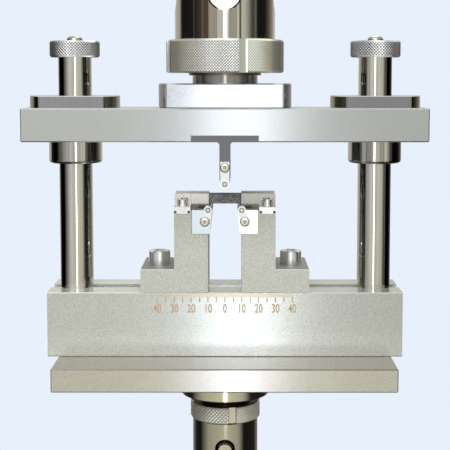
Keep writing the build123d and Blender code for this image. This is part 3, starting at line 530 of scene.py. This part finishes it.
SCREW_RIM = 2.55 * MM
SCREW_RECESS = 1.15 * MM
clip = metal("clip_steel", linear(214, 216, 216), 0.4, grain=0.05, grain_scale=900, metallic=0.7)
give(clip, "left_front_clip", "left_rear_clip", "right_front_clip", "right_rear_clip", "front_nose_clip",
     "rear_nose_clip")
clip_screw = metal("clip_screw_steel", linear(218, 216, 203), 0.42, grain=0.08, grain_scale=1100,
                   metallic=0.6)
for name in ("left_clip_screws", "right_clip_screws", "nose_clip_screws"):
    give(clip_screw, name)
    tint(clip_screw, (0.35, 0.34, 0.3), ring=(*middle(name), SCREW_RIM, SCREW_RIM + 1.45 * MM))
    tint(clip_screw, (0.6, 0.6, 0.56), ring=(*middle(name), 0.0, SCREW_RECESS))


# Nose holder, coupon and the other screws

dark_paint = metal("dark_holder", linear(103, 103, 106), 0.55, grain=0.14, grain_scale=1600, metallic=0.2,
                   bump=0.3)
give(dark_paint, "nose_holder")
laminate = metal("laminate", linear(110, 111, 111), 0.85, grain=0.5, grain_scale=900,
                 stretch=(0.6, 1, 1.6), metallic=0.0, specular=0.02)
give(laminate, "test_coupon")
knob_screw = metal("knob_screw_steel", linear(150, 148, 128), 0.3, grain=0.08, grain_scale=900)
give(knob_screw, "left_knob_screw", "right_knob_screw")
fastener = metal("fastener_steel", linear(242, 245, 244), 0.24, grain=0.05, grain_scale=900)
give(fastener, "spigot_screws", "block_screws", "post_screws", "left_bushing_screws",
     "right_bushing_screws", "holder_screws", "adapter_screws", "left_seat_screws", "right_seat_screws",
     "left_clamp_bolt", "right_clamp_bolt", "left_t_nut", "right_t_nut", "left_guide_screws",
     "right_guide_screws")


# Stop knobs, with the bands that their rims mirror painted into their colour

KNOB_RADIUS = 15 * MM
left_levels = [(-15, 0.12), (-12, 0.17), (-10, 0.28), (-5.5, 0.55), (-3.6, 0.7), (-2.3, 1.0), (1.7, 1.0),
               (3.2, 0.66), (7, 0.5), (12, 0.7), (14, 0.3), (15, 0.3)]
right_levels = [(-15, 0.3), (-13.5, 0.5), (-10, 0.32), (-7.5, 0.33), (-5, 0.5), (-2.7, 0.85), (-1.5, 1.0),
                (1.5, 1.0), (3.4, 0.72), (4.6, 0.55), (7, 0.54), (12, 0.8), (13.8, 0.3), (15, 0.12)]
for name, centre_x, levels in (("left_stop_knob", -post_x, left_levels),
                               ("right_stop_knob", post_x, right_levels)):
    knob_metal = knurled(name, linear(255, 254, 249), centre_x, KNOB_RADIUS, pitch=1.3 * MM, edge=1 * MM,
                         dark=0.2)
    profile(knob_metal, centre_x, levels)


# Upper lock nut, with the bands that its rim mirrors painted into its colour, and a collar painted dark as
# shade

NUT_RADIUS = 35.3 * MM
nut_metal = knurled("upper_lock_nut", linear(255, 252, 241), 0.0, NUT_RADIUS, pitch=1.2 * MM, edge=1 * MM,
                    dark=0.28, metallic=0.8)
profile(nut_metal, 0.0, [(-35, (0.34, 0.33, 0.30)), (-29, (0.45, 0.44, 0.38)), (-22, (0.42, 0.41, 0.36)),
                         (-16, (0.48, 0.47, 0.44)), (-12, 0.6), (-8, 0.88), (-5, 1.0), (5, 1.0), (7, 0.84),
                         (15, (0.83, 0.84, 0.77)), (21, (0.95, 0.96, 0.83)), (24, (1.0, 1.0, 0.78)),
                         (26.5, (1.0, 1.0, 0.76)), (28.5, 0.6), (32, (0.30, 0.30, 0.25)),
                         (35, (0.34, 0.33, 0.31))])
tint(nut_metal, (0.25, 0.23, 0.2), z=(nut_low.z - 1 * MM, nut_low.z + 1.6 * MM))
# its slots, the front one 71.9 degrees from +X and the others at right angles to it
NUT_SLOT_FLOOR = 32.5 * MM
in_slots = {"z": (nut_low.z + 1.8 * MM, nut_high.z + 1 * MM), "turn": math.radians(-71.9)}
# the front slot's floor, painted darker as shade, and its wall, painted bright as a highlight
tint(nut_metal, (0.66, 0.69, 0.66), x=(NUT_SLOT_FLOOR, 33.4 * MM), y=(-2.7 * MM, 2.7 * MM), **in_slots)
tint(nut_metal, 2.0, x=(NUT_SLOT_FLOOR, NUT_RADIUS), y=(2.2 * MM, 2.8 * MM), **in_slots)
# the left slot's wall, painted bright as a highlight, and the rim at both its sides, painted dark as shade
tint(nut_metal, (3.6, 3.6, 3.8), x=(-3.2 * MM, -2.4 * MM), y=(-35.4 * MM, -NUT_SLOT_FLOOR), **in_slots)
for rim_edge in ((-4.2 * MM, -3.0 * MM), (2.6 * MM, 4.2 * MM)):
    tint(nut_metal, 0.2, x=rim_edge, y=(-36.0 * MM, -34.0 * MM), **in_slots)


# Lower lock ring, painted dark as shade above and below, and painted brighter towards the right as light

RING_RADIUS = 21.2 * MM
ring_low, ring_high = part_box("lower_lock_ring")
ring_metal = knurled("lower_lock_ring", linear(255, 240, 222), 0.0, RING_RADIUS, pitch=1.6 * MM,
                     edge=0.6 * MM, dark=0.1, metallic=0.6)
slope(ring_metal, "X", -21 * MM, 21 * MM, 0.9, 2.6)
tint(ring_metal, (0.08, 0.07, 0.06), z=(ring_high.z - SKIN, ring_high.z + 1 * MM))
tint(ring_metal, (0.3, 0.28, 0.22), z=(ring_low.z - 1 * MM, ring_low.z + 0.5 * MM))
# its front slot, 77.3 degrees from +X: the floor and a line on each side, painted dark as shade
RING_SLOT_FLOOR = 18.5 * MM
ring_turn = math.radians(-77.3)
tint(ring_metal, (0.5, 0.49, 0.46), x=(RING_SLOT_FLOOR, 20.7 * MM), y=(-2.1 * MM, 2.1 * MM), turn=ring_turn)
for slot_side in ((-2.4 * MM, -2.0 * MM), (2.0 * MM, 2.4 * MM)):
    tint(ring_metal, (0.25, 0.24, 0.2), x=(RING_SLOT_FLOOR, RING_RADIUS), y=slot_side, turn=ring_turn)


# Scale on the base block's front: a band, a tick every 5 mm and plain numbers

MARK_DEPTH = 0.04 * MM
TICK_HALF_WIDTH = 0.33 * MM
TICK_HEIGHT = 3 * MM
BAND_HALF_LENGTH = 40.5 * MM
NUMBER_HEIGHT = 7.2 * MM
NUMBER_NARROWED = 0.66
tan = metal("scale_mark", linear(182, 159, 134), 0.6, grain=0.05, metallic=0.0, specular=0.1)
pale_tan = metal("scale_band", linear(190, 182, 166), 0.25, grain=0.08, grain_scale=1300, metallic=0.6)
band_top = block_high.z - 0.6 * MM
tick_top = block_high.z - 2.9 * MM
number_foot = block_high.z - 12 * MM


def mark(x0, x1, z0, z1):
    """The corners of a thin box that lies half in the base block's front."""
    return (x0, block_low.y - MARK_DEPTH, z0), (x1, block_low.y + MARK_DEPTH, z1)


def printed(name, boxes, material):
    """One mesh of separate closed boxes, each given by its low and high corners."""
    verts, faces = [], []
    for (x0, y0, z0), (x1, y1, z1) in boxes:
        n = len(verts)
        verts += [(x0, y0, z0), (x1, y0, z0), (x1, y1, z0), (x0, y1, z0),
                  (x0, y0, z1), (x1, y0, z1), (x1, y1, z1), (x0, y1, z1)]
        faces += [tuple(n + i for i in face) for face in
                  ((0, 3, 2, 1), (4, 5, 6, 7), (0, 1, 5, 4), (1, 2, 6, 5), (2, 3, 7, 6), (3, 0, 4, 7))]
    mesh = bpy.data.meshes.new(name)
    mesh.from_pydata(verts, [], faces)
    mesh.materials.append(material)
    obj = bpy.data.objects.new(name, mesh)
    scene.collection.objects.link(obj)
    return obj


band = mark(-BAND_HALF_LENGTH, BAND_HALF_LENGTH, tick_top, band_top)
scale_band = printed("scale_band", [band], pale_tan)
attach(scale_band, "base")
tick_places = [i * 5 * MM for i in range(-8, 9)]
ticks = [mark(x - TICK_HALF_WIDTH, x + TICK_HALF_WIDTH, tick_top - TICK_HEIGHT, tick_top)
         for x in tick_places]
scale_lines = printed("scale_lines", ticks, tan)
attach(scale_lines, "base")

for i in range(-4, 5):
    text = bpy.data.curves.new(f"scale_number_{i + 4}", "FONT")
    text.body = str(abs(i) * 10)
    text.size = NUMBER_HEIGHT
    text.align_x = "CENTER"
    text.extrude = MARK_DEPTH
    text.offset = 0.14 * MM
    number = bpy.data.objects.new(f"scale_number_{i + 4}", text)
    scene.collection.objects.link(number)
    number.location = (i * 10 * MM, block_low.y, number_foot)
    number.rotation_euler = (math.pi / 2, 0, 0)
    number.scale.x = NUMBER_NARROWED
    text.materials.append(tan)
    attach(number, "base")


# Floor, which fades out round the object's foot and isn't mirrored

FLOOR_HALF = 3.0
corners = [(-FLOOR_HALF, -FLOOR_HALF, 0), (FLOOR_HALF, -FLOOR_HALF, 0), (FLOOR_HALF, FLOOR_HALF, 0),
           (-FLOOR_HALF, FLOOR_HALF, 0)]
floor_mesh = bpy.data.meshes.new("floor")
floor_mesh.from_pydata(corners, [], [(0, 1, 2, 3)])
floor = bpy.data.objects.new("floor", floor_mesh)
scene.collection.objects.link(floor)
floor.location.z = -0.1 * MM


def floor_material():
    """Matt in the background's colour near the object, and clear further out and in reflections."""
    material, graph, shader = new_material("floor")
    shader.inputs["Base Color"].default_value = BACKGROUND
    shader.inputs["Roughness"].default_value = 0.9
    shader.inputs["Specular IOR Level"].default_value = 0.0
    x, y, _ = graph.axes(graph.coordinates())
    faded = graph.span(graph.distance(x, y), 30 * MM, 70 * MM, smooth=True)
    mirrored = graph.add("ShaderNodeLightPath").outputs["Is Glossy Ray"]
    clear = graph.add("ShaderNodeBsdfTransparent")
    shown = graph.mix_shaders(graph.math("MAXIMUM", faded, mirrored), shader.outputs[0], clear.outputs[0])
    graph.link(shown, graph.tree.nodes["Material Output"].inputs["Surface"])
    return material


floor_mesh.materials.append(floor_material())


# World: the plain background for the camera, and the room for all that it lights

PLAIN = (1.0, 1.0, 1.0)
CREAM = (1.0, 0.97, 0.88)
OLIVE = (1.0, 0.99, 0.86)
BROWN = (1.0, 0.85, 0.7)
# each row of a ring is an angle in degrees from the front, -Y, towards +X, a level and a hue
LEVEL_RING = [
    (-180, 0.6, CREAM), (-128, 0.45, CREAM), (-118, 0.01, PLAIN), (-77, 0.012, PLAIN), (-68, 0.22, PLAIN),
    (-59, 0.38, PLAIN), (-45, 0.46, PLAIN), (-31, 0.72, PLAIN), (-17, 0.66, PLAIN), (-9, 0.60, PLAIN),
    (9, 0.57, PLAIN), (15, 0.66, OLIVE), (31, 0.72, OLIVE), (35, 0.40, OLIVE), (39, 0.70, OLIVE),
    (46, 0.58, OLIVE), (55, 0.34, OLIVE), (63, 0.10, OLIVE), (70, 0.05, PLAIN), (74, 0.20, CREAM),
    (79, 0.01, PLAIN), (104, 0.01, PLAIN), (117, 0.08, BROWN), (136, 0.30, BROWN), (150, 0.55, CREAM),
    (180, 0.6, CREAM),
]
LOW_RING = [
    (-180, 0.1, CREAM), (-150, 0.24, CREAM), (-128, 0.02, PLAIN), (-95, 0.008, PLAIN), (-74, 0.26, OLIVE),
    (-60, 0.44, OLIVE), (-5, 0.64, OLIVE), (5, 0.64, OLIVE), (48, 0.44, OLIVE), (68, 0.008, PLAIN),
    (128, 0.02, PLAIN), (150, 0.24, CREAM), (180, 0.1, CREAM),
]


def ring_stops(ring):
    """The ring's rows as a ramp's stops, with the full turn as 0..1."""
    return [(degrees / 360 + 0.5, rgba(tuple(level * c for c in hue))) for degrees, level, hue in ring]


def make_world():
    """A room of two rings, level and low, with a dark place below and a bright one above."""
    world = bpy.data.worlds.new("world")
    scene.world = world
    world.use_nodes = True
    graph = Graph(world.node_tree)
    x, y, z = graph.axes(graph.coordinates("Generated"))
    turn = graph.math("ARCTAN2", x, graph.times(y, -1.0))
    around = graph.plus(graph.math("DIVIDE", turn, 2 * math.pi), 0.5)
    level_ring = graph.ramp(around, ring_stops(LEVEL_RING))
    low_ring = graph.ramp(around, ring_stops(LOW_RING))
    # from straight below to straight above, with the heights where one passes into the next
    under = graph.mix(graph.span(z, -0.7, -0.45, smooth=True), rgba(0.04), low_ring)
    sides = graph.mix(graph.span(z, -0.24, -0.14, smooth=True), under, level_ring)
    dome = graph.mix(graph.span(z, 0.35, 0.6, smooth=True), sides, rgba(0.9))
    room = graph.add("ShaderNodeBackground")
    graph.link(dome, room.inputs["Color"])
    plain = graph.add("ShaderNodeBackground")
    plain.inputs["Color"].default_value = BACKGROUND
    seen = graph.add("ShaderNodeLightPath").outputs["Is Camera Ray"]
    output = graph.add("ShaderNodeOutputWorld")
    graph.link(graph.mix_shaders(seen, room.outputs[0], plain.outputs[0]), output.inputs["Surface"])


make_world()


# Lamps

def lamp(name, place, target, size, power, color, size_y=None):
    """An area lamp at the place, turned to the target."""
    light = bpy.data.lights.new(name, "AREA")
    light.energy = power
    light.color = color
    light.size = size
    if size_y:
        light.shape = "RECTANGLE"
        light.size_y = size_y
    obj = bpy.data.objects.new(name, light)
    scene.collection.objects.link(obj)
    obj.location = place
    obj.rotation_euler = (Vector(target) - Vector(place)).to_track_quat("-Z", "Y").to_euler()


MIDDLE = (0, 0, 0.15)
# a narrow upright lamp, level with the object, whose glare is the bright stretch on the fronts
lamp("strip", (0.010, -0.72, 0.15), target=(0.010, 0, 0.15), size=0.09, size_y=0.60, power=0.59,
     color=(0.94, 0.98, 1.0))
lamp("rear", (0.1, 0.6, 1.1), target=MIDDLE, size=0.5, power=4.5, color=(1.0, 0.99, 0.97))
lamp("key", (-0.1, -0.72, 0.95), target=MIDDLE, size=0.9, power=10.0, color=(0.98, 0.99, 1.0))


# Camera, in front of the object and tilted a little downwards

CAMERA_PLACE = (0.006, -0.6895, 0.252)
CAMERA_TILT = 0.08112
CAMERA_TURN = 0.00161
camera_data = bpy.data.cameras.new("camera")
camera_data.sensor_width = 36
camera_data.lens = 91.144
camera_data.shift_x = -0.01817
camera_data.shift_y = -0.12
camera_data.clip_start = 10 * MM
camera = bpy.data.objects.new("camera", camera_data)
scene.collection.objects.link(camera)
camera.location = CAMERA_PLACE
camera.rotation_euler = (math.pi / 2 - CAMERA_TILT, 0, CAMERA_TURN)
scene.camera = camera
